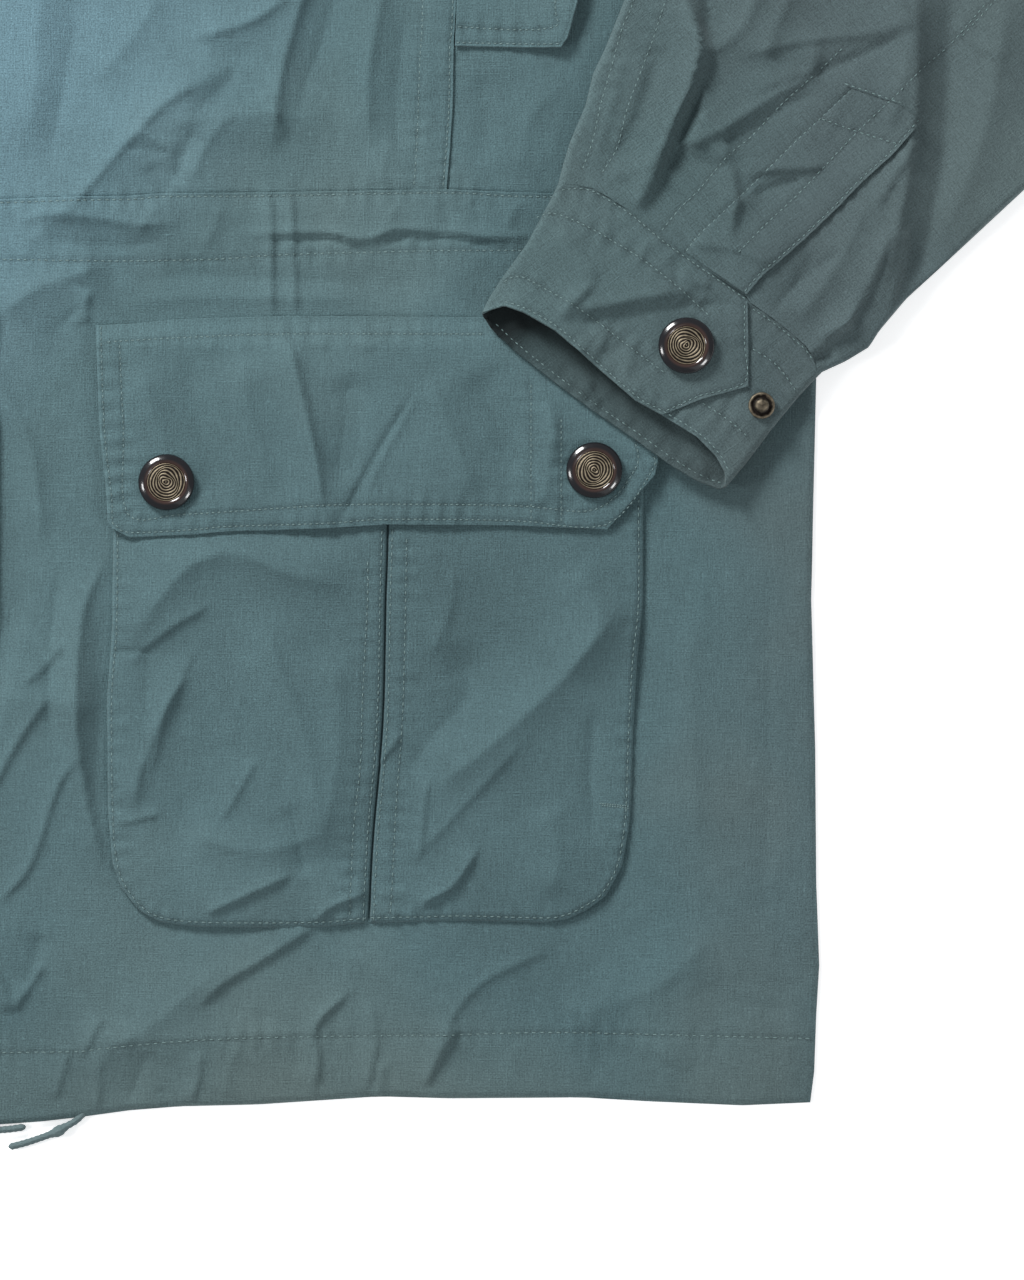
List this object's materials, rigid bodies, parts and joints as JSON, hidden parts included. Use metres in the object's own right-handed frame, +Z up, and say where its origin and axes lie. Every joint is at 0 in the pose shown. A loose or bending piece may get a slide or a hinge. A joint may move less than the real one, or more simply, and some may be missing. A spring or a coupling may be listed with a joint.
{
  "type": "utility jacket",
  "caption": "Utility jacket laid flat with bent sleeves, drawcord waist, bellows pockets under snapped flaps, snap cuffs and a hem drawstring.",
  "frame": {"origin": "on the surface that the jacket lies on, below the middle of its outline", "axes": "+X to the wearer's left, +Y towards the collar, +Z up from the surface, out of the front"},
  "size_m": [0.968, 0.8905, 0.0212],
  "materials": {
    "body_cloth": "plain poplin weave, matt",
    "sleeve_cloth": "plain poplin weave, matt",
    "snap_cap": "glossy rim round an antique brass disc",
    "brass": "antique, worn",
    "cord": "braided cord, matt"
  },
  "bodies": {
    "root": {"back": "body_cloth", "collar": "body_cloth", "front_placket": "body_cloth", "left_front_upper": "body_cloth", "left_side_upper": "body_cloth", "left_waist_casing": "body_cloth", "left_skirt": "body_cloth", "left_chest_flap": "body_cloth", "left_pocket": "body_cloth", "left_pocket_flap": "body_cloth", "right_front_upper": "body_cloth", "right_side_upper": "body_cloth", "right_waist_casing": "body_cloth", "right_skirt": "body_cloth", "right_chest_flap": "body_cloth", "right_pocket": "body_cloth", "right_pocket_flap": "body_cloth", "left_sleeve": "sleeve_cloth", "left_cuff": "sleeve_cloth", "left_cuff_tab": "sleeve_cloth", "left_sleeve_placket": "sleeve_cloth", "right_sleeve": "sleeve_cloth", "right_cuff": "sleeve_cloth", "right_cuff_tab": "sleeve_cloth", "right_sleeve_placket": "sleeve_cloth", "left_pocket_cap_1": "snap_cap", "left_pocket_cap_2": "snap_cap", "right_pocket_cap_1": "snap_cap", "right_pocket_cap_2": "snap_cap", "left_cuff_cap": "snap_cap", "right_cuff_cap": "snap_cap", "placket_cap_1": "snap_cap", "placket_cap_2": "snap_cap", "placket_cap_3": "snap_cap", "placket_cap_4": "snap_cap", "placket_cap_5": "snap_cap", "left_cuff_stud": "brass", "right_cuff_stud": "brass", "left_drawstring": "cord", "right_drawstring": "cord"}
  },
  "joints": []
}
